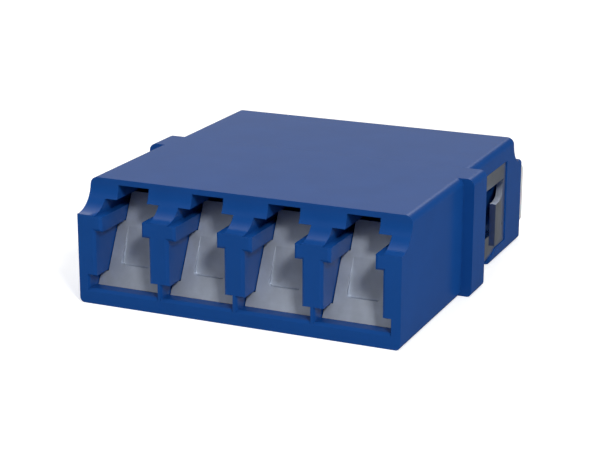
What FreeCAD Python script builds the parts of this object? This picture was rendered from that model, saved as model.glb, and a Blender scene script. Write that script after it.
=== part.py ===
import FreeCAD, Part
import math
import os

# LC fibre adapter: four simplex LC ports in a row, in the outline of an SC duplex adapter.
# Millimetres. X runs across the row of ports, Y from the shuttered front face to the rear,
# Z up. The origin is on the underside, in the middle of the whole length and width.

V = FreeCAD.Vector

# ---- driving dimensions ----------------------------------------------------------------

# ports
PORTS = 4
PITCH = 6.25                  # spacing of LC ports
BORE_W = 4.6                  # square bore that takes the 4.52 mm plug
BORE_H = 4.6
THROAT_W = 3.4                # gap between the two rails under the latch
THROAT_H = 1.14
LATCH_W = 4.6                 # passage for the latch arm, above the rails
LATCH_H = 0.99
NOTCH_W = 2.6                 # slot for the latch's thumb ramp
NOTCH_H = 1.08
MOUTH_CHAMFER = 0.21
LATCH_DEPTH = 9.0             # how far the latch passage and its slot reach in
RAIL_DEPTH = 6.0              # how far the rails under the latch reach in

# housing
FLOOR = 1.2                   # underside to the floor of the bores
ROOF = 0.44                   # wall above the latch slots
FRONT_SIDE = 1.445            # wall outside the end bores, front moulding
REAR_SIDE = 1.125             # wall outside the end bores, rear moulding
LENGTH = 29.5                 # front face to rear face
FLANGE_BEHIND = 1.45          # middle of the length to the flange's rear face
FLANGE_THICK = 3.05
FLANGE_REACH = 0.88           # how far each tab stands out of the front moulding
MID_WALL = 1.25               # each moulding's half of the wall that carries the barrels
TOP_ROUND = 0.6
REAR_ROUND = 0.3              # top edge at the rear
BOTTOM_ROUND = 0.4
SCOOP_DEPTH = 2.13            # finger scoop over the ports, at either face
SCOOP_R = 2.07
SCOOP_LIP = 7.04              # height of the lip left in front of the scoop

# spigot that joins the two mouldings
SPIGOT_SIDE = 0.9             # front moulding's wall round the spigot
SPIGOT_FLOOR = 0.8
SPIGOT_ROOF = 0.8

# sleeves and the barrels that hold them
FERRULE_R = 0.625
SLEEVE_WALL = 0.185
SLEEVE_LENGTH = 6.8
SLEEVE_SLIT = 0.25
SLEEVE_PLAY = 0.05            # radial play of a sleeve in its barrel
SLEEVE_END_PLAY = 0.1
BARREL_WALL = 0.44
BARREL_LIP = 0.6              # length of the neck that keeps the sleeve in
BARREL_NECK_R = 0.72          # lead-in cone of the neck, inner end and mouth
BARREL_MOUTH_R = 0.98

# shutters
CLOSED_ANGLE = 63.0           # a closed flap's lean above the floor, in degrees
HINGE_Y = 1.5                 # front face to hinge axis
POCKET_DEPTH = 0.7            # pocket in the floor that a folded flap lies in
POCKET_GAP = 0.04             # knuckle to pocket floor and front wall
PIN_R = 0.15
KNUCKLE_R = 0.29
PIN_PLAY = 0.03
SHEET = 0.2                   # thickness of a flap
FLAP_SIDE_GAP = 0.06          # flap to bore wall
TAB_SIDE_GAP = 0.06           # flap's tab to the rails
FLAP_STOP_GAP = 0.05          # closed flap's shoulders to the underside of the rails
TAB_TOP_GAP = 0.07            # closed flap's top edge to the top of the latch passage
EAR_SLOT_W = 5.84             # wide slot at the foot of a port, for the flap's ears
EAR_SLOT_H = 1.03
EAR_SLOT_DEPTH = 2.9
EAR_CHAMFER = 0.1             # widening of that slot at the front face
EAR_TOP_GAP = 0.08            # closed flap's ears to the top of their slot
PIN_SEAT = 0.15               # how far a pin reaches into each wall beside its flap
SPRING_GAP_W = 1.6            # room between a flap's two knuckles, for its spring
SPRING_GAP_R = 0.32
DIMPLE_W = 2.62               # hollow that keeps the flap off the ferrule's end face
DIMPLE_FROM = 1.93            # hinge axis to the hollow, along the flap
DIMPLE_TO = 4.97
DIMPLE_DEPTH = 0.35
DIMPLE_SLOPE = 0.14
DIMPLE_ROUND = 0.25
SPRING_WIRE_R = 0.05          # of the two straight legs
SPRING_TURN_R = 0.055         # half the width of one turn of the coil
SPRING_COIL_R = 0.235
SPRING_TURNS = 5
SPRING_LEG = 1.3              # hinge axis to the tip of the leg under the flap
SPRING_ANCHOR = 0.5           # hinge axis to the tip of the leg in the pocket's front wall
ANCHOR_PLAY = 0.02

# panel clip
CLIP_SHEET = 0.5
CLIP_SINK = 0.12              # clip's outer face below the housing's
CLIP_BEND_R = 0.8
CLIP_FROM = 0.1               # flange to the clip's front edge
CLIP_SIDE_LENGTH = 9.1        # clip's sides, front edge to rear edge
CLIP_STRAP_LENGTH = 5.18      # strap underneath, front edge to rear edge
CLIP_TOP_DROP = 1.59          # top of the housing to the top of the clip
CLIP_FOOT = 1.06              # height where the sides narrow to the strap
CLIP_GAP = 0.03
TONGUE_FROM = 2.74            # lower and upper edge of the tongues
TONGUE_TO = 6.2
TONGUE_ROOT_GAP = 0.5         # tongue's root to the rear edge of the clip's side
TONGUE_SLOT_LOW = 0.24
TONGUE_SLOT_HIGH = 0.31
TONGUE_END_GAP = 0.9          # opening left in front of the tongue's free end
TONGUE_ANGLE = 16.0
TONGUE_END_ANGLE = 1.7
TONGUE_ROOT_R = 1.0
TONGUE_RUN = 3.65             # straight part of the tongue
TONGUE_BACK_R = 12.0

# dust caps
CAP_PLAY = 0.1                # cap to bore, each side
CAP_DEPTH = 6.0
CAP_WALL = 0.7
CAP_HEAD_W = 5.86
CAP_HEAD_FROM = 0.95
CAP_HEAD_TO = 6.05
CAP_HEAD = 2.45               # how far a cap stands out of the rear face
CAP_ROUND = 0.4
CAP_EDGE = 0.25
CAP_GRIPS = 3                 # grip grooves across the top and the underside of a cap
CAP_GRIP_W = 0.3
CAP_GRIP_DEPTH = 0.15

# ---- sizes that follow -----------------------------------------------------------------

BORE_TOP = FLOOR + BORE_H
THROAT_TOP = BORE_TOP + THROAT_H
LATCH_TOP = THROAT_TOP + LATCH_H
NOTCH_TOP = LATCH_TOP + NOTCH_H
HEIGHT = NOTCH_TOP + ROOF
AXIS_Z = FLOOR + BORE_H / 2
ROW_HALF = (PORTS - 1) * PITCH / 2 + BORE_W / 2
FRONT_HALF = ROW_HALF + FRONT_SIDE
REAR_HALF = ROW_HALF + REAR_SIDE
FLANGE_HALF = FRONT_HALF + FLANGE_REACH
MIDDLE = LENGTH / 2
FLANGE_TO = MIDDLE + FLANGE_BEHIND
FLANGE_FROM = FLANGE_TO - FLANGE_THICK
OVERALL = LENGTH + CAP_HEAD
SLEEVE_R = FERRULE_R + SLEEVE_WALL
SLEEVE_ROOM_R = SLEEVE_R + SLEEVE_PLAY
BARREL_R = SLEEVE_ROOM_R + BARREL_WALL
SLEEVE_ROOM = SLEEVE_LENGTH / 2 + SLEEVE_END_PLAY
BARREL_REACH = SLEEVE_ROOM + BARREL_LIP
POCKET_FLOOR = FLOOR - POCKET_DEPTH
HINGE_Z = POCKET_FLOOR + POCKET_GAP + KNUCKLE_R
POCKET_FROM = HINGE_Y - KNUCKLE_R - POCKET_GAP
EAR_TOP = FLOOR + EAR_SLOT_H - EAR_TOP_GAP
TAB_TOP = LATCH_TOP - TAB_TOP_GAP
COS = math.cos(math.radians(CLOSED_ANGLE))
SIN = math.sin(math.radians(CLOSED_ANGLE))
HINGE = V(0, HINGE_Y, HINGE_Z)
EAR_HALF = EAR_SLOT_W / 2 - FLAP_SIDE_GAP
FLAP_HALF = BORE_W / 2 - FLAP_SIDE_GAP
TAB_HALF = THROAT_W / 2 - TAB_SIDE_GAP
CLIP_HALF = REAR_HALF - CLIP_SINK
CLIP_START = FLANGE_TO + CLIP_FROM
CLIP_TO = CLIP_START + CLIP_SIDE_LENGTH
CLIP_STRAP_TO = CLIP_START + CLIP_STRAP_LENGTH
CLIP_TOP = HEIGHT - CLIP_TOP_DROP
TONGUE_ROOT = CLIP_TO - TONGUE_ROOT_GAP
SPRING_END = (SPRING_TURNS - 1) * SPRING_TURN_R    # middle of the coil to its last turn
EPS = 1.0                     # how far a cutter runs past the face it opens

PORT_X = [(i - (PORTS - 1) / 2) * PITCH for i in range(PORTS)]


# ---- shape helpers ---------------------------------------------------------------------

def box(x0, x1, y0, y1, z0, z1):
    return Part.makeBox(x1 - x0, y1 - y0, z1 - z0, V(x0, y0, z0))


def rod(radius, start, end):
    return Part.makeCylinder(radius, (end - start).Length, start, end - start)


def polygon(points):
    return Part.Face(Part.makePolygon(points + [points[0]]))


def outline(edges):
    return Part.Face(Part.Wire(edges))


def line(a, b):
    return Part.LineSegment(a, b).toShape()


def arc(a, mid, b):
    return Part.Arc(a, mid, b).toShape()


def rounded_block(half, z0, z1, r_low, r_high, y0, y1):
    """Block along Y whose four long edges are rounded."""
    low = r_low * (1 - math.sqrt(0.5))
    high = r_high * (1 - math.sqrt(0.5))
    edges = [
        line(V(-half + r_low, y0, z0), V(half - r_low, y0, z0)),
        arc(V(half - r_low, y0, z0), V(half - low, y0, z0 + low), V(half, y0, z0 + r_low)),
        line(V(half, y0, z0 + r_low), V(half, y0, z1 - r_high)),
        arc(V(half, y0, z1 - r_high), V(half - high, y0, z1 - high), V(half - r_high, y0, z1)),
        line(V(half - r_high, y0, z1), V(-half + r_high, y0, z1)),
        arc(V(-half + r_high, y0, z1), V(-half + high, y0, z1 - high), V(-half, y0, z1 - r_high)),
        line(V(-half, y0, z1 - r_high), V(-half, y0, z0 + r_low)),
        arc(V(-half, y0, z0 + r_low), V(-half + low, y0, z0 + low), V(-half + r_low, y0, z0)),
    ]
    return outline(edges).extrude(V(0, y1 - y0, 0))


def tapered(half0, za0, zb0, y0, half1, za1, zb1, y1):
    """Straight-sided block along Y from one rectangle to another."""
    ends = []
    for half, za, zb, y in ((half0, za0, zb0, y0), (half1, za1, zb1, y1)):
        corners = [V(-half, y, za), V(half, y, za), V(half, y, zb), V(-half, y, zb)]
        ends.append(Part.makePolygon(corners + [corners[0]]))
    return Part.makeLoft(ends, True, True)


def at_port(shape, x):
    moved = shape.copy()
    moved.translate(V(x, 0, 0))
    return moved


def turned_round(shape):
    """The same shape seen from the rear face: turned half a turn about the middle."""
    moved = shape.copy()
    moved.rotate(V(0, MIDDLE, 0), V(0, 0, 1), 180)
    return moved


# ---- housing ---------------------------------------------------------------------------

def scoop_cutter(half):
    """Room above the lip: flat lip, quarter-round hollow, upright wall. Front face at y 0."""
    flat = SCOOP_DEPTH - SCOOP_R
    bend = SCOOP_R * math.sqrt(0.5)
    centre_z = SCOOP_LIP + SCOOP_R
    edges = [
        line(V(-half, -EPS, SCOOP_LIP), V(-half, flat, SCOOP_LIP)),
        arc(V(-half, flat, SCOOP_LIP), V(-half, flat + bend, centre_z - bend),
            V(-half, SCOOP_DEPTH, centre_z)),
        line(V(-half, SCOOP_DEPTH, centre_z), V(-half, SCOOP_DEPTH, HEIGHT + EPS)),
        line(V(-half, SCOOP_DEPTH, HEIGHT + EPS), V(-half, -EPS, HEIGHT + EPS)),
        line(V(-half, -EPS, HEIGHT + EPS), V(-half, -EPS, SCOOP_LIP)),
    ]
    return outline(edges).extrude(V(2 * half, 0, 0))


def port_cutter():
    """One LC port from the face at y 0 inwards, about x 0, as far as the middle wall."""
    c = MOUTH_CHAMFER
    half = BORE_W / 2
    throat = THROAT_W / 2
    cut = box(-half, half, -EPS, MIDDLE - MID_WALL, FLOOR, BORE_TOP)
    cut = cut.fuse(box(-throat, throat, -EPS, RAIL_DEPTH, BORE_TOP - 0.1, THROAT_TOP + 0.1))
    cut = cut.fuse(box(-half, half, RAIL_DEPTH, LATCH_DEPTH, BORE_TOP - 0.1, THROAT_TOP + 0.1))
    cut = cut.fuse(box(-LATCH_W / 2, LATCH_W / 2, -EPS, LATCH_DEPTH, THROAT_TOP, LATCH_TOP))
    cut = cut.fuse(box(-NOTCH_W / 2, NOTCH_W / 2, -EPS, LATCH_DEPTH, LATCH_TOP - 0.1, NOTCH_TOP))
    cut = cut.fuse(tapered(half + c, FLOOR - c, BORE_TOP + c, 0, half, FLOOR, BORE_TOP, c))
    cut = cut.fuse(tapered(throat + c, BORE_TOP, THROAT_TOP, 0, throat, BORE_TOP, THROAT_TOP, c))
    return cut


def shutter_room():
    """Wide slot at a port's foot, the pocket in its floor that the folded flap lies in, the
    seats of the hinge pin in the walls beside it and the hole for the spring's fixed leg."""
    c = MOUTH_CHAMFER
    wide = EAR_SLOT_W / 2 + EAR_CHAMFER
    half = EAR_SLOT_W / 2
    top = FLOOR + EAR_SLOT_H
    cut = box(-half, half, -EPS, EAR_SLOT_DEPTH, FLOOR, top)
    cut = cut.fuse(tapered(wide, FLOOR - c, top + EAR_CHAMFER, 0, half, FLOOR, top, c))
    cut = cut.fuse(box(-half, half, POCKET_FROM, EAR_SLOT_DEPTH, POCKET_FLOOR, FLOOR + 0.1))
    flap_length = (TAB_TOP - HINGE_Z) / SIN
    pocket_to = HINGE_Y + flap_length + 4 * FLAP_SIDE_GAP
    cut = cut.fuse(box(-BORE_W / 2, BORE_W / 2, EAR_SLOT_DEPTH - 0.1, pocket_to, POCKET_FLOOR, FLOOR + 0.1))
    room = SPRING_WIRE_R + ANCHOR_PLAY
    leg_z = HINGE_Z - SPRING_COIL_R
    cut = cut.fuse(hinge_pin())
    return cut.fuse(box(-SPRING_END - room, room - SPRING_END, HINGE_Y - SPRING_ANCHOR - room, HINGE_Y,
                        leg_z - room, leg_z + room))


def barrel():
    """Tube from the middle plane forwards that carries half of a sleeve."""
    return rod(BARREL_R, V(0, MIDDLE - BARREL_REACH, AXIS_Z), V(0, MIDDLE - MID_WALL + 0.2, AXIS_Z))


def barrel_bore():
    room = rod(SLEEVE_ROOM_R, V(0, MIDDLE - SLEEVE_ROOM, AXIS_Z), V(0, MIDDLE + EPS, AXIS_Z))
    neck = Part.makeCone(BARREL_MOUTH_R, BARREL_NECK_R, BARREL_LIP, V(0, MIDDLE - BARREL_REACH, AXIS_Z), V(0, 1, 0))
    return room.fuse(neck)


def spigot(y_to):
    half = FRONT_HALF - SPIGOT_SIDE
    return rounded_block(half, SPIGOT_FLOOR, HEIGHT - SPIGOT_ROOF, BOTTOM_ROUND, TOP_ROUND, MIDDLE, y_to)


def front_housing():
    body = rounded_block(FRONT_HALF, 0, HEIGHT, BOTTOM_ROUND, TOP_ROUND, 0, FLANGE_TO)
    flange = rounded_block(FLANGE_HALF, 0, HEIGHT, BOTTOM_ROUND, TOP_ROUND, FLANGE_FROM, FLANGE_TO)
    body = body.fuse(flange)
    body = body.cut(scoop_cutter(FRONT_HALF + EPS))
    cuts = []
    barrels = []
    bores = []
    for x in PORT_X:
        cuts += [at_port(port_cutter(), x), at_port(shutter_room(), x)]
        barrels.append(at_port(barrel(), x))
        bores.append(at_port(barrel_bore(), x))
    body = body.cut(spigot(FLANGE_TO + EPS)).cut(cuts)
    return body.fuse(barrels).cut(bores).removeSplitter()


def rear_housing():
    body = rounded_block(REAR_HALF, 0, HEIGHT, BOTTOM_ROUND, TOP_ROUND, FLANGE_TO, LENGTH)
    body = body.cut(turned_round(scoop_cutter(REAR_HALF + EPS)))
    top_edge = [e for e in body.Edges if e.BoundBox.ZMin > HEIGHT - 0.01
                and abs(e.BoundBox.YMin - (LENGTH - SCOOP_DEPTH)) < 0.01
                and e.BoundBox.XLength > REAR_HALF]
    body = body.makeFillet(REAR_ROUND, top_edge)
    body = body.fuse(spigot(FLANGE_TO + 0.1))
    body = body.cut(clip_room())
    cuts = [turned_round(at_port(port_cutter(), x)) for x in PORT_X]
    barrels = [turned_round(at_port(barrel(), x)) for x in PORT_X]
    bores = [turned_round(at_port(barrel_bore(), x)) for x in PORT_X]
    return body.cut(cuts).fuse(barrels).cut(bores).removeSplitter()


# ---- panel clip ------------------------------------------------------------------------

def clip_profile(outer, gap):
    """U-shaped section of the folded strip, in the plane y 0, grown by gap at its top."""
    inner = outer - CLIP_SHEET
    low = CLIP_SINK
    top = CLIP_TOP + gap
    r_out = CLIP_BEND_R
    r_in = CLIP_BEND_R - CLIP_SHEET
    k = 1 - math.sqrt(0.5)
    zi = low + CLIP_SHEET
    edges = [
        line(V(-outer, 0, top), V(-outer, 0, low + r_out)),
        arc(V(-outer, 0, low + r_out), V(-outer + k * r_out, 0, low + k * r_out), V(-outer + r_out, 0, low)),
        line(V(-outer + r_out, 0, low), V(outer - r_out, 0, low)),
        arc(V(outer - r_out, 0, low), V(outer - k * r_out, 0, low + k * r_out), V(outer, 0, low + r_out)),
        line(V(outer, 0, low + r_out), V(outer, 0, top)),
        line(V(outer, 0, top), V(inner, 0, top)),
        line(V(inner, 0, top), V(inner, 0, zi + r_in)),
        arc(V(inner, 0, zi + r_in), V(inner - k * r_in, 0, zi + k * r_in), V(inner - r_in, 0, zi)),
        line(V(inner - r_in, 0, zi), V(-inner + r_in, 0, zi)),
        arc(V(-inner + r_in, 0, zi), V(-inner + k * r_in, 0, zi + k * r_in), V(-inner, 0, zi + r_in)),
        line(V(-inner, 0, zi + r_in), V(-inner, 0, top)),
        line(V(-inner, 0, top), V(-outer, 0, top)),
    ]
    return outline(edges)


def clip_heel(gap):
    """What is missing below the wide sides, behind the strap: a blend from side to strap."""
    half = REAR_HALF + EPS
    foot = CLIP_FOOT - gap
    strap = CLIP_STRAP_TO + gap
    rise = foot - CLIP_SINK
    back = strap + 1.5 * rise
    low = V(-half, strap, CLIP_SINK + 0.35 * rise)
    edges = [
        line(V(-half, strap, -EPS), low),
        arc(low, V(-half, strap + 0.64 * rise, CLIP_SINK + 0.58 * rise), V(-half, back, foot)),
        line(V(-half, back, foot), V(-half, LENGTH, foot)),
        line(V(-half, LENGTH, foot), V(-half, LENGTH, -EPS)),
        line(V(-half, LENGTH, -EPS), V(-half, strap, -EPS)),
    ]
    return outline(edges).extrude(V(2 * half, 0, 0))


def clip_blank(gap):
    """The folded strip before its tongues are cut, grown by gap along its edges."""
    start = CLIP_START - gap
    blank = clip_profile(CLIP_HALF, gap).extrude(V(0, CLIP_TO + gap - start, 0))
    blank.translate(V(0, start, 0))
    return blank.cut(clip_heel(gap))


def clip_room():
    """Recess in the rear moulding: the clip's own place, opened to the outside."""
    start = FLANGE_TO + 0.001
    inside = CLIP_HALF - CLIP_SHEET
    zi = CLIP_SINK + CLIP_SHEET
    r_in = CLIP_BEND_R - CLIP_SHEET
    end = CLIP_TO + CLIP_GAP
    outside = box(-REAR_HALF - EPS, REAR_HALF + EPS, start, end, -EPS, CLIP_TOP + CLIP_GAP)
    core = rounded_block(inside, zi, HEIGHT, r_in, TOP_ROUND, start - EPS, end + EPS)
    return outside.cut(core).cut(clip_heel(CLIP_GAP))


def tongue_path(offset):
    """Edges of one face of the right-hand tongue, root first, in the plane z 0."""
    a = math.radians(TONGUE_ANGLE)
    b = math.radians(TONGUE_END_ANGLE)
    x0 = CLIP_HALF - offset
    y0 = TONGUE_ROOT
    r1 = TONGUE_ROOT_R + offset
    r2 = TONGUE_BACK_R - offset
    centre = V(x0 + r1, y0, 0)

    def on_root(t):
        return centre + V(-r1 * math.cos(t), -r1 * math.sin(t), 0)

    p1 = on_root(a)
    p2 = p1 + V(TONGUE_RUN * math.sin(a), -TONGUE_RUN * math.cos(a), 0)
    hub = p2 + V(-r2 * math.cos(a), -r2 * math.sin(a), 0)

    def on_back(t):
        return hub + V(r2 * math.cos(t), r2 * math.sin(t), 0)

    p3 = on_back(b)
    edges = [arc(V(x0, y0, 0), on_root(a / 2), p1), line(p1, p2), arc(p2, on_back((a + b) / 2), p3)]
    return edges, p3


def tongue():
    outer, tip_out = tongue_path(0)
    inner, tip_in = tongue_path(CLIP_SHEET)
    root_out = V(CLIP_HALF, TONGUE_ROOT, 0)
    root_in = V(CLIP_HALF - CLIP_SHEET, TONGUE_ROOT, 0)
    back = TONGUE_ROOT + 0.1
    back_out = V(CLIP_HALF, back, 0)
    back_in = V(CLIP_HALF - CLIP_SHEET, back, 0)
    ring = Part.__sortEdges__(outer + inner + [
        line(tip_out, tip_in), line(root_in, back_in), line(back_in, back_out), line(back_out, root_out)])
    blade = Part.Face(Part.Wire(ring)).extrude(V(0, 0, TONGUE_TO - TONGUE_FROM))
    blade.translate(V(0, 0, TONGUE_FROM))
    return blade, tip_out.y


def panel_clip():
    clip = clip_blank(0)
    blade, tip_y = tongue()
    window = box(CLIP_HALF - CLIP_SHEET - EPS, CLIP_HALF + EPS, tip_y - TONGUE_END_GAP, TONGUE_ROOT,
                 TONGUE_FROM - TONGUE_SLOT_LOW, TONGUE_TO + TONGUE_SLOT_HIGH)
    mirror = FreeCAD.Matrix(-1, 0, 0, 0, 0, 1, 0, 0, 0, 0, 1, 0, 0, 0, 0, 1)
    for side in (1, -1):
        hole = window if side > 0 else window.transformGeometry(mirror)
        tab = blade if side > 0 else blade.mirror(V(0, 0, 0), V(1, 0, 0))
        clip = clip.cut(hole).fuse(tab)
    return clip.removeSplitter()


# ---- sleeves ---------------------------------------------------------------------------

def sleeve():
    start = V(0, MIDDLE - SLEEVE_LENGTH / 2, AXIS_Z)
    end = V(0, MIDDLE + SLEEVE_LENGTH / 2, AXIS_Z)
    tube = rod(SLEEVE_R, start, end).cut(rod(FERRULE_R, start, end))
    slit = box(-SLEEVE_SLIT / 2, SLEEVE_SLIT / 2, start.y - EPS, end.y + EPS, AXIS_Z, AXIS_Z + 2 * SLEEVE_R)
    return tube.cut(slit)


# ---- shutters --------------------------------------------------------------------------

def flap_point(x, along, up):
    """A point of the folded flap: along it from the hinge axis, and up from that axis."""
    return V(x, HINGE_Y + along, HINGE_Z + up)


def flap_length(height):
    """How far up a flap a height is when it is closed, on its front face."""
    return (height - HINGE_Z - KNUCKLE_R * COS) / SIN


def flap():
    """Stamped flap with two rolled knuckles, ears at its foot and a hollow for the ferrule.
    It is drawn folded down on the floor, then raised to its closed place."""
    under = KNUCKLE_R - SHEET
    ear_to = flap_length(EAR_TOP)
    shoulder = flap_length(BORE_TOP - FLAP_STOP_GAP)
    top = flap_length(TAB_TOP)
    corner = [(EAR_HALF, 0), (EAR_HALF, ear_to), (FLAP_HALF, ear_to), (FLAP_HALF, shoulder),
              (TAB_HALF, shoulder), (TAB_HALF, top)]
    right = [flap_point(x, u, under) for x, u in corner]
    left = [flap_point(-x, u, under) for x, u in reversed(corner)]
    plate = polygon(right + left).extrude(V(0, 0, SHEET))
    knuckle = rod(KNUCKLE_R, flap_point(-EAR_HALF, 0, 0), flap_point(EAR_HALF, 0, 0))
    gap = SPRING_GAP_W / 2
    coil_room = rod(SPRING_GAP_R, flap_point(-gap, 0, 0), flap_point(gap, 0, 0))

    def dimple(grow, shift):
        """The hollow's wedge, or with grow and shift the pan of sheet round it."""
        half = DIMPLE_W / 2 + grow
        face = KNUCKLE_R - shift
        foot = [V(-half, HINGE_Y + DIMPLE_FROM - grow, HINGE_Z + face + (0.1 if shift == 0 else 0)),
                V(-half, HINGE_Y + DIMPLE_TO + grow, HINGE_Z + face + (0.1 if shift == 0 else 0)),
                V(-half, HINGE_Y + DIMPLE_TO + grow, HINGE_Z + face),
                V(-half, HINGE_Y + DIMPLE_FROM + DIMPLE_SLOPE - grow, HINGE_Z + face - DIMPLE_DEPTH),
                V(-half, HINGE_Y + DIMPLE_FROM - grow, HINGE_Z + face)]
        if shift:
            foot = foot[2:] + [V(-half, HINGE_Y + DIMPLE_FROM - grow, HINGE_Z + KNUCKLE_R - 0.01),
                               V(-half, HINGE_Y + DIMPLE_TO + grow, HINGE_Z + KNUCKLE_R - 0.01)]
        wedge = polygon(foot).extrude(V(2 * half, 0, 0))
        low = [e for e in wedge.Edges if e.BoundBox.ZLength > 0.2 and e.BoundBox.YLength < 0.2 + DIMPLE_SLOPE
               and e.BoundBox.XLength < 0.01 and e.BoundBox.YMax < HINGE_Y + DIMPLE_FROM + 2 * DIMPLE_SLOPE]
        return wedge.makeFillet(DIMPLE_ROUND + grow, low)

    body = plate.fuse(knuckle).fuse(dimple(SHEET * 0.9, SHEET)).cut(dimple(0, 0)).cut(coil_room)
    body = body.cut(rod(PIN_R + PIN_PLAY, flap_point(-EAR_HALF, 0, 0), flap_point(EAR_HALF, 0, 0)))
    body = body.removeSplitter()
    body.rotate(HINGE, V(1, 0, 0), CLOSED_ANGLE)
    return body


def hinge_pin():
    reach = EAR_SLOT_W / 2 + PIN_SEAT
    return rod(PIN_R, V(-reach, HINGE_Y, HINGE_Z), V(reach, HINGE_Y, HINGE_Z))


def spring_coil():
    """Close-wound turns round the pin, as one revolved outline."""
    half = SPRING_TURN_R
    crest = SPRING_COIL_R + SPRING_TURN_R
    inside = SPRING_COIL_R - SPRING_TURN_R
    points = []
    for number in range(SPRING_TURNS):
        x = 2 * half * number - SPRING_END
        points += [V(x - half, 0, SPRING_COIL_R), V(x, 0, crest)]
    end = SPRING_END + half
    points += [V(end, 0, SPRING_COIL_R), V(end, 0, inside), V(-end, 0, inside)]
    coil = polygon(points).revolve(V(0, 0, 0), V(1, 0, 0), 360)
    coil.translate(HINGE)
    return coil


def shutter_spring():
    """Torsion spring round the pin. One leg bears on the back of the closed flap, the other
    is held in a hole in the front wall of the pocket."""
    tip_up = KNUCKLE_R - SHEET - SPRING_WIRE_R
    reach = math.hypot(SPRING_LEG, tip_up)
    lean = math.atan2(tip_up, SPRING_LEG) + math.asin(SPRING_COIL_R / reach)
    angle = math.radians(CLOSED_ANGLE) + lean
    along = V(0, math.cos(angle), math.sin(angle))
    out = V(0, math.sin(angle), -math.cos(angle))
    high = HINGE + V(SPRING_END, 0, 0) + out * SPRING_COIL_R
    low = HINGE + V(-SPRING_END, 0, -SPRING_COIL_R)
    flap_leg = rod(SPRING_WIRE_R, high, high + along * math.sqrt(reach ** 2 - SPRING_COIL_R ** 2))
    anchor_leg = rod(SPRING_WIRE_R, low - V(0, SPRING_ANCHOR, 0), low)
    return spring_coil().fuse([anchor_leg, flap_leg])


# ---- dust caps -------------------------------------------------------------------------

def dust_cap():
    half = BORE_W / 2 - CAP_PLAY
    low = FLOOR + CAP_PLAY
    high = BORE_TOP - CAP_PLAY
    inner = LENGTH - CAP_DEPTH
    stub = box(-half, half, inner, LENGTH + CAP_EDGE, low, high)
    hollow = box(CAP_WALL - half, half - CAP_WALL, inner - EPS, LENGTH, low + CAP_WALL, high - CAP_WALL)
    head = rounded_block(CAP_HEAD_W / 2, CAP_HEAD_FROM, CAP_HEAD_TO, CAP_ROUND, CAP_ROUND,
                         LENGTH + 0.02, LENGTH + CAP_HEAD)
    rim = [e for e in head.Edges if e.BoundBox.YMin > LENGTH + CAP_HEAD - 0.01]
    head = head.makeChamfer(CAP_EDGE, rim)
    cap = stub.fuse(head).cut(hollow)
    long = CAP_HEAD_W / 2 - CAP_ROUND
    for number in range(CAP_GRIPS):
        y = LENGTH + (number + 1) * (CAP_HEAD - CAP_EDGE) / (CAP_GRIPS + 1)
        for z, side in ((CAP_HEAD_TO, 1), (CAP_HEAD_FROM, -1)):
            foot = z - side * CAP_GRIP_DEPTH
            low, high = min(foot, foot + side), max(foot, foot + side)
            cap = cap.cut(box(-long, long, y - CAP_GRIP_W / 2, y + CAP_GRIP_W / 2, low, high))
    return cap.removeSplitter()


# ---- output ----------------------------------------------------------------------------

def save(name, shape):
    placed = shape.copy()
    placed.translate(V(0, -OVERALL / 2, 0))
    placed.exportStep(os.path.join("parts", name + ".step"))
    print(name, "solids", len(placed.Solids), "valid", placed.isValid(), "volume", round(placed.Volume, 3))


def build():
    os.makedirs("parts", exist_ok=True)
    save("front_housing", front_housing())
    save("rear_housing", rear_housing())
    save("panel_clip", panel_clip())
    pieces = {"sleeve": sleeve(), "shutter_flap": flap(), "hinge_pin": hinge_pin(), "dust_cap": dust_cap()}
    pieces["shutter_spring"] = shutter_spring()
    for name, shape in pieces.items():
        for number, x in enumerate(PORT_X, 1):
            save(f"{name}_{number}", at_port(shape, x))


if __name__ == "__main__":
    build()
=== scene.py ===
import math

import bpy
from bpy.props import FloatProperty, PointerProperty, StringProperty
from mathutils import Matrix, Vector


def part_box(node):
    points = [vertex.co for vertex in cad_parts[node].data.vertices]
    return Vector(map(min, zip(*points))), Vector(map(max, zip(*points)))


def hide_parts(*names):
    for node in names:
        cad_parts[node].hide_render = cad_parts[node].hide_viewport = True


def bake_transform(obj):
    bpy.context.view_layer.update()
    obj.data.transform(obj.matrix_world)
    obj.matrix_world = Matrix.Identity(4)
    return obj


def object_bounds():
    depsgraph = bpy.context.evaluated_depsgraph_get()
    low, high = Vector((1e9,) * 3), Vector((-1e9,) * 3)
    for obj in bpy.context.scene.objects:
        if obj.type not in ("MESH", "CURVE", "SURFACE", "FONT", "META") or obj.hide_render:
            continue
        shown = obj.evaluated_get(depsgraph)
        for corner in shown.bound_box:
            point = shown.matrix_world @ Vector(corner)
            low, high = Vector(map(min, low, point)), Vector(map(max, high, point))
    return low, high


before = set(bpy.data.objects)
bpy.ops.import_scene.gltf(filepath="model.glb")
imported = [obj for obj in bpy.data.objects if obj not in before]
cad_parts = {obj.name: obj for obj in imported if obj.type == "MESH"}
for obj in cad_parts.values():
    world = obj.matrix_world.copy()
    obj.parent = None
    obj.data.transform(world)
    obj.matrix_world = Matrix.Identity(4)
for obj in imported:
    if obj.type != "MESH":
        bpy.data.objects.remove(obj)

bl_info = {
    "name": "LC fibre adapter",
    "version": (1, 0, 0),
    "blender": (4, 5, 0),
    "location": "3D View > Sidebar > Adapter",
    "description": "Finishes an LC fibre adapter and sets it on a studio floor",
    "category": "Object",
}

MM = 0.001
CAD_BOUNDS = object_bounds()
LOW, HIGH = Vector(CAD_BOUNDS[0]), Vector(CAD_BOUNDS[1])
FRONT_FACE_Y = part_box("front_housing")[0].y

# ---- finishes: sizes of what the eye sees on each surface -------------------------------

NOISE_LOW, NOISE_HIGH = 0.35, 0.65          # most of a noise lies between these
BEVEL_SAMPLES = 6

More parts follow.
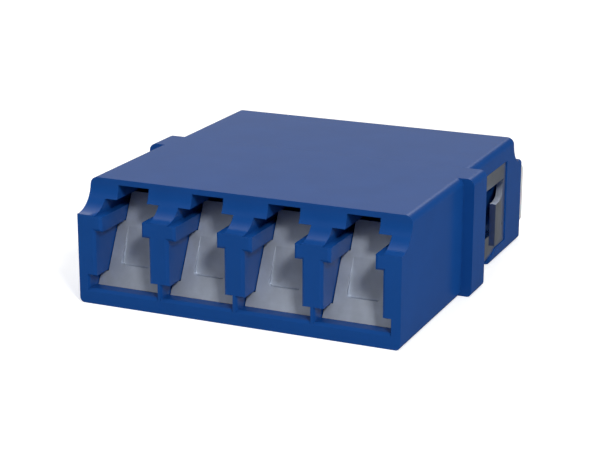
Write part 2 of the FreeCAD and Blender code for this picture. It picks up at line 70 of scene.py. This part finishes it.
PBT_SPECULAR = 0.1                          # low, as the grain breaks up most of the gloss
PBT_ROUGHNESS = (0.18, 0.22)
PBT_FLOW = 3 * MM                           # width of the flow streaks
PBT_SHADES = (0.97, 1.03)
PBT_WAVE, PBT_WAVE_DEPTH, PBT_WAVE_SHARE = 4 * MM, 0.05 * MM, 0.08
PBT_GRAIN_DEPTH, PBT_GRAIN_SHARE = 0.006 * MM, 0.35

STEEL_SHADES = (0.9, 1.05)
STEEL_PATCH = 1.5 * MM                      # width of the cloudy patches in the grey
STEEL_LINE = 0.05 * MM                      # width of one rolling line
STEEL_LINE_RATIO = 40                       # its length, in widths
STEEL_LINE_DEPTH, STEEL_LINE_SHARE = 0.004 * MM, 0.15
STEEL_ROUGHNESS_SPREAD = 0.04
CLIP_ROUGHNESS, CLIP_EDGE = 0.32, 0.04 * MM
FLAP_ROUGHNESS, FLAP_EDGE = 0.7, 0.03 * MM
ACROSS, LENGTHWISE = 0, 1                   # the axis that rolling lines follow

WIRE_ROUGHNESS = 0.3
WIRE_PATCH = 0.3 * MM
WIRE_COLOURS = ("#9a9da1", "#b9bcc0")

ZIRCONIA_ROUGHNESS, ZIRCONIA_IOR = 0.18, 2.1
ZIRCONIA_PATCH = 0.8 * MM
ZIRCONIA_COLOURS = ("#e2dfd6", "#efece4")

POLYTHENE_ROUGHNESS, POLYTHENE_IOR = 0.45, 1.51
POLYTHENE_DEPTH, POLYTHENE_DEPTH_SHARE = 0.6 * MM, 0.25
POLYTHENE_PATCH = 1.2 * MM
POLYTHENE_SHADES = (0.95, 1.03)
POLYTHENE_EDGE = 0.12 * MM
POLYTHENE_HAZE, POLYTHENE_HAZE_DEPTH, POLYTHENE_HAZE_SHARE = 0.15 * MM, 0.006 * MM, 0.3

# ---- springs ----------------------------------------------------------------------------

WELD = 0.001 * MM                           # corners nearer than this are one corner
SPRING_LEG_ROOM = 0.11 * MM                 # the end of a coil that its leg takes up
SPRING_RINGS = 12                           # rings that the coil is cut into between its legs
SPRING_SMOOTH_DEGREES = 40                  # edges sharper than this stay sharp

# ---- stage ------------------------------------------------------------------------------

SENSOR_WIDTH = 36.0                         # millimetres, as the lens is
NEAREST_SEEN = 1 * MM

# name, place from the middle of the part and width in mm, watts, whether gloss mirrors it
LAMPS = (
    ("lamp_key", (159, -170, 189), 50, 0.435, True),
    ("lamp_top", (-20, 30, 230), 260, 0.2, False),
    ("lamp_right", (230, -20, 90), 160, 0.13, False),
    ("lamp_left", (-230, -60, 90), 160, 0.28, False),
)
FLOOR_RADIUS, FLOOR_SIDES = 0.9, 96
FLOOR_COLOUR = "#f2f2f2"
FLOOR_GLOW_FROM, FLOOR_GLOW_TO = 0.06, 0.4  # from the part's middle, where the glow grows
FLOOR_GLOW_NEAR, FLOOR_GLOW_FAR = 0.45, 0.95
FLOOR_MIRRORED = 0.135
WHITE = 1.0
SKY_SHARED = 0.15

# Each band of the mirrored studio fades along an axis: start, end, and its level at each.
SKY_BANDS = {
    "front_rise": ("Z", 0.35, 0.6, 0.13, 0.9),
    "front_fall": ("Z", 0.65, 0.85, 1.0, 0.15),
    "rear_rise": ("Z", 0.33, 0.45, 0.44, 2.6),
    "rear_left": ("X", -0.1, 0.1, 1.0, 0.2),
    "rear_share": ("Y", -0.3, 0.3, 0.0, 1.0),
}


# ---- settings ---------------------------------------------------------------------------

class AdapterSettings(bpy.types.PropertyGroup):
    """Colours and finish of the adapter's pieces."""

    housing_colour: StringProperty(
        name="Housing", description="Colour of the two mouldings, as sRGB hex",
        default="#14468a")
    flap_colour: StringProperty(
        name="Shutters", description="Colour of the stamped flaps, as sRGB hex",
        default="#c8cfda")
    clip_colour: StringProperty(
        name="Panel clip", description="Colour of the spring-steel clip, as sRGB hex",
        default="#d3dbe8")
    cap_colour: StringProperty(
        name="Dust caps", description="Colour of the dust caps, as sRGB hex",
        default="#d9dbdd")
    edge_radius: FloatProperty(
        name="Edge radius", description="Rounding that a mould leaves on sharp edges",
        default=0.03 * MM, min=0.0, precision=6, unit="LENGTH")
    grain: FloatProperty(
        name="Mould grain", description="Width of the spark-eroded grain on the mouldings",
        default=0.09 * MM, min=0.01 * MM, precision=6, unit="LENGTH")


class StageSettings(bpy.types.PropertyGroup):
    """Where the camera stands and how it looks at the adapter."""

    camera_x: FloatProperty(
        name="Camera X", description="Camera to the right", default=53.53 * MM, unit="LENGTH")
    camera_y: FloatProperty(
        name="Camera Y", description="Camera from the front face", default=-108.84 * MM,
        unit="LENGTH")
    camera_z: FloatProperty(
        name="Camera Z", description="Camera above the floor", default=44.28 * MM,
        unit="LENGTH")
    azimuth: FloatProperty(
        name="Azimuth", description="Turn to the right of the front", default=0.4169,
        subtype="ANGLE")
    elevation: FloatProperty(
        name="Elevation", description="Tilt down from level", default=0.2958,
        subtype="ANGLE")
    roll: FloatProperty(
        name="Roll", description="Turn about the line of sight", default=0.0011,
        subtype="ANGLE")
    lens: FloatProperty(
        name="Lens", description="Focal length on a 36 mm wide frame", default=104.55,
        min=10.0)


# ---- materials --------------------------------------------------------------------------

def linear(hex_colour):
    """An sRGB hex colour as linear red, green, blue and alpha."""
    text = hex_colour.lstrip("#")
    values = [int(text[i:i + 2], 16) / 255 for i in (0, 2, 4)]
    return [v / 12.92 if v <= 0.04045 else ((v + 0.055) / 1.055) ** 2.4 for v in values] + [1.0]


def shades(hex_colour, factors):
    """A darker and a lighter shade of one colour."""
    *rgb, alpha = linear(hex_colour)
    return [[v * factor for v in rgb] + [alpha] for factor in factors]


def add_node(tree, kind, inputs, **settings):
    """Adds one node; each input is a value or the socket that feeds it."""
    made = tree.nodes.new(kind)
    for name, value in settings.items():
        setattr(made, name, value)
    for key, value in inputs.items():
        if isinstance(value, bpy.types.NodeSocket):
            tree.links.new(value, made.inputs[key])
        else:
            made.inputs[key].default_value = value
    return made


def start_material(name):
    """An empty material, its tree, and the place of each point on the piece."""
    material = bpy.data.materials.new(name)
    material.use_nodes = True
    tree = material.node_tree
    tree.nodes.clear()
    place = add_node(tree, "ShaderNodeTexCoord", {}).outputs["Object"]
    return material, tree, place


def add_surface(tree, inputs):
    """The shader of a finished material, and its output."""
    shader = add_node(tree, "ShaderNodeBsdfPrincipled", inputs)
    add_node(tree, "ShaderNodeOutputMaterial", {"Surface": shader.outputs["BSDF"]})


def mottled(tree, place, size, dark, light):
    """A colour that drifts between two close shades over patches of one size."""
    noise = add_node(tree, "ShaderNodeTexNoise", {
        "Vector": place, "Scale": 1 / size, "Detail": 4.0})
    ramp = add_node(tree, "ShaderNodeMapRange", {
        "Value": noise.outputs["Fac"], "From Min": NOISE_LOW, "From Max": NOISE_HIGH})
    mix = add_node(tree, "ShaderNodeMix", {
        "Factor": ramp.outputs["Result"], 6: dark, 7: light}, data_type="RGBA")
    return mix.outputs[2]


def moulded_pbt(look):
    """Blue PBT, injection moulded in a spark-eroded tool. Its even grain breaks up small
    reflections, the slow waves of its shrinkage bend large ones, soft mould radii catch a
    line of light on every edge, and flow streaks shift the colour by a few percent. The real
    grain, about 0.03 mm, is too fine to show, so it is drawn three times as coarse."""
    material, tree, place = start_material("moulded_pbt")
    colour = mottled(tree, place, PBT_FLOW, *shades(look.housing_colour, PBT_SHADES))
    edges = add_node(tree, "ShaderNodeBevel", {"Radius": look.edge_radius},
                     samples=BEVEL_SAMPLES)
    grain = add_node(tree, "ShaderNodeTexNoise", {
        "Vector": place, "Scale": 1 / look.grain, "Detail": 2.0})
    waves = add_node(tree, "ShaderNodeTexNoise", {
        "Vector": place, "Scale": 1 / PBT_WAVE, "Detail": 1.0})
    slow = add_node(tree, "ShaderNodeBump", {
        "Height": waves.outputs["Fac"], "Distance": PBT_WAVE_DEPTH,
        "Strength": PBT_WAVE_SHARE, "Normal": edges.outputs["Normal"]})
    fine = add_node(tree, "ShaderNodeBump", {
        "Height": grain.outputs["Fac"], "Distance": PBT_GRAIN_DEPTH,
        "Strength": PBT_GRAIN_SHARE, "Normal": slow.outputs["Normal"]})
    rough = add_node(tree, "ShaderNodeMapRange", {
        "Value": waves.outputs["Fac"], "To Min": PBT_ROUGHNESS[0], "To Max": PBT_ROUGHNESS[1]})
    add_surface(tree, {
        "Base Color": colour, "Metallic": 0.0, "Specular IOR Level": PBT_SPECULAR,
        "Roughness": rough.outputs["Result"], "Normal": fine.outputs["Normal"]})
    return material


def rolled_steel(name, hex_colour, roughness, along, edge_radius):
    """Cold-rolled stainless strip. Fine rolling lines along one axis draw its reflections out,
    and its edges are rolled over a little by the stamping tool. The real lines, about 0.01 mm,
    are too fine to show, so they are drawn five times as coarse."""
    material, tree, place = start_material(name)
    scale = [1 / STEEL_LINE] * 3
    scale[along] = 1 / (STEEL_LINE_RATIO * STEEL_LINE)
    drawn_out = add_node(tree, "ShaderNodeMapping", {"Vector": place, "Scale": scale})
    lines = add_node(tree, "ShaderNodeTexNoise", {
        "Vector": drawn_out.outputs["Vector"], "Scale": 1.0, "Detail": 3.0})
    colour = mottled(tree, place, STEEL_PATCH, *shades(hex_colour, STEEL_SHADES))
    edges = add_node(tree, "ShaderNodeBevel", {"Radius": edge_radius}, samples=BEVEL_SAMPLES)
    bump = add_node(tree, "ShaderNodeBump", {
        "Height": lines.outputs["Fac"], "Distance": STEEL_LINE_DEPTH,
        "Strength": STEEL_LINE_SHARE, "Normal": edges.outputs["Normal"]})
    rough = add_node(tree, "ShaderNodeMapRange", {
        "Value": lines.outputs["Fac"], "To Min": roughness - STEEL_ROUGHNESS_SPREAD,
        "To Max": roughness + STEEL_ROUGHNESS_SPREAD})
    add_surface(tree, {
        "Base Color": colour, "Metallic": 1.0, "Roughness": rough.outputs["Result"],
        "Normal": bump.outputs["Normal"]})
    return material


def drawn_wire():
    """Drawn stainless wire and pins: bright, with die lines too fine to show one by one, which
    leave only faint patches in the grey."""
    material, tree, place = start_material("drawn_wire")
    colour = mottled(tree, place, WIRE_PATCH, *map(linear, WIRE_COLOURS))
    add_surface(tree, {
        "Base Color": colour, "Metallic": 1.0, "Roughness": WIRE_ROUGHNESS})
    return material


def ground_zirconia():
    """Zirconia, sintered and ground: dense white, faintly warm, with a polished sheen."""
    material, tree, place = start_material("ground_zirconia")
    colour = mottled(tree, place, ZIRCONIA_PATCH, *map(linear, ZIRCONIA_COLOURS))
    add_surface(tree, {
        "Base Color": colour, "Metallic": 0.0, "Roughness": ZIRCONIA_ROUGHNESS,
        "IOR": ZIRCONIA_IOR})
    return material


def soft_polythene(look):
    """Low-density polythene, moulded: pale, waxy and a little see-through, so light wanders
    under the surface and softens the edges. Its haze is coarser than the real one, to show."""
    material, tree, place = start_material("soft_polythene")
    colour = mottled(tree, place, POLYTHENE_PATCH, *shades(look.cap_colour, POLYTHENE_SHADES))
    edges = add_node(tree, "ShaderNodeBevel", {"Radius": POLYTHENE_EDGE},
                     samples=BEVEL_SAMPLES)
    haze = add_node(tree, "ShaderNodeTexNoise", {
        "Vector": place, "Scale": 1 / POLYTHENE_HAZE, "Detail": 2.0})
    bump = add_node(tree, "ShaderNodeBump", {
        "Height": haze.outputs["Fac"], "Distance": POLYTHENE_HAZE_DEPTH,
        "Strength": POLYTHENE_HAZE_SHARE, "Normal": edges.outputs["Normal"]})
    add_surface(tree, {
        "Base Color": colour, "Metallic": 0.0, "Roughness": POLYTHENE_ROUGHNESS,
        "IOR": POLYTHENE_IOR, "Subsurface Weight": POLYTHENE_DEPTH_SHARE,
        "Subsurface Scale": POLYTHENE_DEPTH, "Normal": bump.outputs["Normal"]})
    return material


def dress(material, *kinds):
    """Gives a material to every CAD node whose name starts with one of these kinds."""
    found = [thing for name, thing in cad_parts.items() if name.startswith(kinds)]
    if not found:
        raise RuntimeError(f"no node is named like {kinds}")
    for thing in found:
        thing.data.materials.clear()
        thing.data.materials.append(material)


# ---- operators for the pieces -----------------------------------------------------------

class ADAPTER_OT_housing(bpy.types.Operator):
    """Finish the front and rear mouldings"""
    bl_idname = "adapter.housing"
    bl_label = "Housing"

    def execute(self, context):
        dress(moulded_pbt(context.scene.adapter), "front_housing", "rear_housing")
        return {"FINISHED"}


class ADAPTER_OT_clip(bpy.types.Operator):
    """Finish the folded panel clip"""
    bl_idname = "adapter.clip"
    bl_label = "Panel clip"

    def execute(self, context):
        colour = context.scene.adapter.clip_colour
        dress(rolled_steel("rolled_spring_steel", colour, CLIP_ROUGHNESS, LENGTHWISE, CLIP_EDGE),
              "panel_clip")
        return {"FINISHED"}


class ADAPTER_OT_shutters(bpy.types.Operator):
    """Finish the flaps, their pins and their springs"""
    bl_idname = "adapter.shutters"
    bl_label = "Shutters"

    def execute(self, context):
        colour = context.scene.adapter.flap_colour
        dress(rolled_steel("stamped_stainless", colour, FLAP_ROUGHNESS, ACROSS, FLAP_EDGE),
              "shutter_flap")
        dress(drawn_wire(), "hinge_pin", "shutter_spring")
        return {"FINISHED"}


class ADAPTER_OT_springs(bpy.types.Operator):
    """Copy each shutter spring, one leg held by the housing and one under its flap, and cut its
    coil into rings between its legs
    """
    bl_idname = "adapter.springs"
    bl_label = "Shutter springs"

    def execute(self, context):
        for name in sorted(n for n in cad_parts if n.startswith("shutter_spring")):
            self.wind(context, name, name.rpartition("_")[2])
        return {"FINISHED"}

    def wind(self, context, name, number):
        """A copy of one spring, its coil cut into rings between its legs."""
        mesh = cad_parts[name].data.copy()
        spring = bpy.data.objects.new(f"torsion_spring_{number}", mesh)
        context.scene.collection.objects.link(spring)
        bpy.ops.object.select_all(action="DESELECT")
        spring.select_set(True)
        context.view_layer.objects.active = spring
        low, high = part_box(name)
        start, end = low.x + SPRING_LEG_ROOM, high.x - SPRING_LEG_ROOM
        bpy.ops.object.mode_set(mode="EDIT")
        bpy.ops.mesh.select_all(action="SELECT")
        bpy.ops.mesh.remove_doubles(threshold=WELD)
        for ring in range(SPRING_RINGS + 1):
            cut = start + (end - start) * ring / SPRING_RINGS
            bpy.ops.mesh.select_all(action="SELECT")
            bpy.ops.mesh.bisect(plane_co=(cut, low.y, low.z), plane_no=(1, 0, 0))
        bpy.ops.object.mode_set(mode="OBJECT")
        bpy.ops.mesh.customdata_custom_splitnormals_clear()
        bpy.ops.object.shade_smooth_by_angle(angle=math.radians(SPRING_SMOOTH_DEGREES))
        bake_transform(spring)
        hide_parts(name)


class ADAPTER_OT_sleeves(bpy.types.Operator):
    """Finish the split sleeves"""
    bl_idname = "adapter.sleeves"
    bl_label = "Sleeves"

    def execute(self, context):
        dress(ground_zirconia(), "sleeve")
        return {"FINISHED"}


class ADAPTER_OT_caps(bpy.types.Operator):
    """Finish the dust caps"""
    bl_idname = "adapter.caps"
    bl_label = "Dust caps"

    def execute(self, context):
        dress(soft_polythene(context.scene.adapter), "dust_cap")
        return {"FINISHED"}


# ---- operator for the stage -------------------------------------------------------------

def by_ray(tree, seen, mirrored, shared):
    """A level that differs for what the camera sees, what gloss mirrors and the light shared."""
    path = add_node(tree, "ShaderNodeLightPath", {})
    gloss = add_node(tree, "ShaderNodeMix", {
        "Factor": path.outputs["Is Glossy Ray"], "A": shared, "B": mirrored},
        data_type="FLOAT")
    level = add_node(tree, "ShaderNodeMix", {
        "Factor": path.outputs["Is Camera Ray"], "A": gloss.outputs[0], "B": seen},
        data_type="FLOAT")
    return level.outputs[0]


class ADAPTER_OT_stage(bpy.types.Operator):
    """Set up the camera, floor, surroundings and lamps"""
    bl_idname = "adapter.stage"
    bl_label = "Stage"

    def execute(self, context):
        self.camera(context.scene)
        self.floor(context)
        self.surroundings(context.scene)
        self.lamps(context.scene)
        context.scene.view_settings.view_transform = "Standard"
        return {"FINISHED"}

    def camera(self, scene):
        stage = scene.adapter_stage
        data = bpy.data.cameras.new("camera")
        data.lens = stage.lens
        data.sensor_width = SENSOR_WIDTH
        data.clip_start = NEAREST_SEEN
        camera = bpy.data.objects.new("camera", data)
        scene.collection.objects.link(camera)
        turn = (Matrix.Rotation(stage.azimuth, 3, "Z")
                @ Matrix.Rotation(math.pi / 2 - stage.elevation, 3, "X")
                @ Matrix.Rotation(stage.roll, 3, "Z"))
        camera.rotation_euler = turn.to_euler()
        camera.location = (stage.camera_x, FRONT_FACE_Y + stage.camera_y, stage.camera_z)
        scene.camera = camera

    def floor(self, context):
        """A round pale floor that reads as white and still takes the contact shadow."""
        bpy.ops.mesh.primitive_circle_add(
            vertices=FLOOR_SIDES, radius=FLOOR_RADIUS, fill_type="NGON", location=(0, 0, 0))
        floor = context.object
        floor.name = "floor"
        material, tree, place = start_material("pale_floor")
        matt = add_node(tree, "ShaderNodeBsdfDiffuse", {"Color": linear(FLOOR_COLOUR)})
        away = add_node(tree, "ShaderNodeVectorMath", {0: place}, operation="LENGTH")
        level = add_node(tree, "ShaderNodeMapRange", {
            "Value": away.outputs["Value"],
            "From Min": FLOOR_GLOW_FROM, "From Max": FLOOR_GLOW_TO,
            "To Min": FLOOR_GLOW_NEAR, "To Max": FLOOR_GLOW_FAR})
        glow = add_node(tree, "ShaderNodeEmission", {
            "Strength": by_ray(tree, level.outputs["Result"], 0.0, 0.0)})
        lit = add_node(tree, "ShaderNodeAddShader", {0: matt.outputs[0], 1: glow.outputs[0]})
        dim = add_node(tree, "ShaderNodeEmission", {"Strength": FLOOR_MIRRORED})
        mixed = add_node(tree, "ShaderNodeMixShader", {
            0: by_ray(tree, 0.0, 1.0, 0.0), 1: lit.outputs[0], 2: dim.outputs[0]})
        add_node(tree, "ShaderNodeOutputMaterial", {"Surface": mixed.outputs[0]})
        floor.data.materials.append(material)

    def surroundings(self, scene):
        """White to the camera; gloss mirrors a soft panel in front and a strip behind."""
        world = bpy.data.worlds.new("studio")
        world.use_nodes = True
        tree = world.node_tree
        tree.nodes.clear()
        direction = add_node(tree, "ShaderNodeTexCoord", {}).outputs["Generated"]
        way = add_node(tree, "ShaderNodeSeparateXYZ", {0: direction})
        band = {}
        for name, (axis, start, end, first, last) in SKY_BANDS.items():
            band[name] = add_node(tree, "ShaderNodeMapRange", {
                "Value": way.outputs[axis], "From Min": start, "From Max": end,
                "To Min": first, "To Max": last}).outputs["Result"]
        front = add_node(tree, "ShaderNodeMath", {
            0: band["front_rise"], 1: band["front_fall"]}, operation="MULTIPLY")
        rear = add_node(tree, "ShaderNodeMath", {
            0: band["rear_rise"], 1: band["rear_left"]}, operation="MULTIPLY")
        sky = add_node(tree, "ShaderNodeMix", {
            "Factor": band["rear_share"], "A": front.outputs[0], "B": rear.outputs[0]},
            data_type="FLOAT")
        back = add_node(tree, "ShaderNodeBackground", {
            "Color": (1, 1, 1, 1), "Strength": by_ray(tree, WHITE, sky.outputs[0], SKY_SHARED)})
        add_node(tree, "ShaderNodeOutputWorld", {"Surface": back.outputs[0]})
        world.cycles.sampling_method = "NONE"
        scene.world = world

    def lamps(self, scene):
        """Square soft boxes that face the middle of the part."""
        middle = (LOW + HIGH) / 2
        for name, place, width, power, mirrored in LAMPS:
            data = bpy.data.lights.new(name, "AREA")
            data.shape = "SQUARE"
            data.size = width * MM
            data.energy = power
            lamp = bpy.data.objects.new(name, data)
            scene.collection.objects.link(lamp)
            offset = Vector(place) * MM
            lamp.location = middle + offset
            lamp.rotation_euler = (-offset).to_track_quat("-Z", "Y").to_euler()
            lamp.visible_glossy = mirrored


# ---- panel and registration -------------------------------------------------------------

class ADAPTER_PT_panel(bpy.types.Panel):
    """Lists the adapter's pieces and settings"""
    bl_idname = "ADAPTER_PT_panel"
    bl_label = "LC fibre adapter"
    bl_space_type = "VIEW_3D"
    bl_region_type = "UI"
    bl_category = "Adapter"

    def draw(self, context):
        layout = self.layout
        for operator in OPERATORS:
            layout.operator(operator.bl_idname)
        for group in (context.scene.adapter, context.scene.adapter_stage):
            box = layout.box()
            for name in group.__annotations__:
                box.prop(group, name)


OPERATORS = (
    ADAPTER_OT_housing, ADAPTER_OT_clip, ADAPTER_OT_shutters, ADAPTER_OT_springs,
    ADAPTER_OT_sleeves, ADAPTER_OT_caps, ADAPTER_OT_stage,
)
CLASSES = (AdapterSettings, StageSettings) + OPERATORS + (ADAPTER_PT_panel,)


def register():
    for item in CLASSES:
        bpy.utils.register_class(item)
    bpy.types.Scene.adapter = PointerProperty(type=AdapterSettings)
    bpy.types.Scene.adapter_stage = PointerProperty(type=StageSettings)


def unregister():
    del bpy.types.Scene.adapter_stage
    del bpy.types.Scene.adapter
    for item in reversed(CLASSES):
        bpy.utils.unregister_class(item)


def main():
    register()
    bpy.ops.object.select_all(action="DESELECT")
    bpy.ops.adapter.housing()
    bpy.ops.adapter.clip()
    bpy.ops.adapter.shutters()
    bpy.ops.adapter.springs()
    bpy.ops.adapter.sleeves()
    bpy.ops.adapter.caps()
    bpy.ops.adapter.stage()


if __name__ == "__main__":
    main()
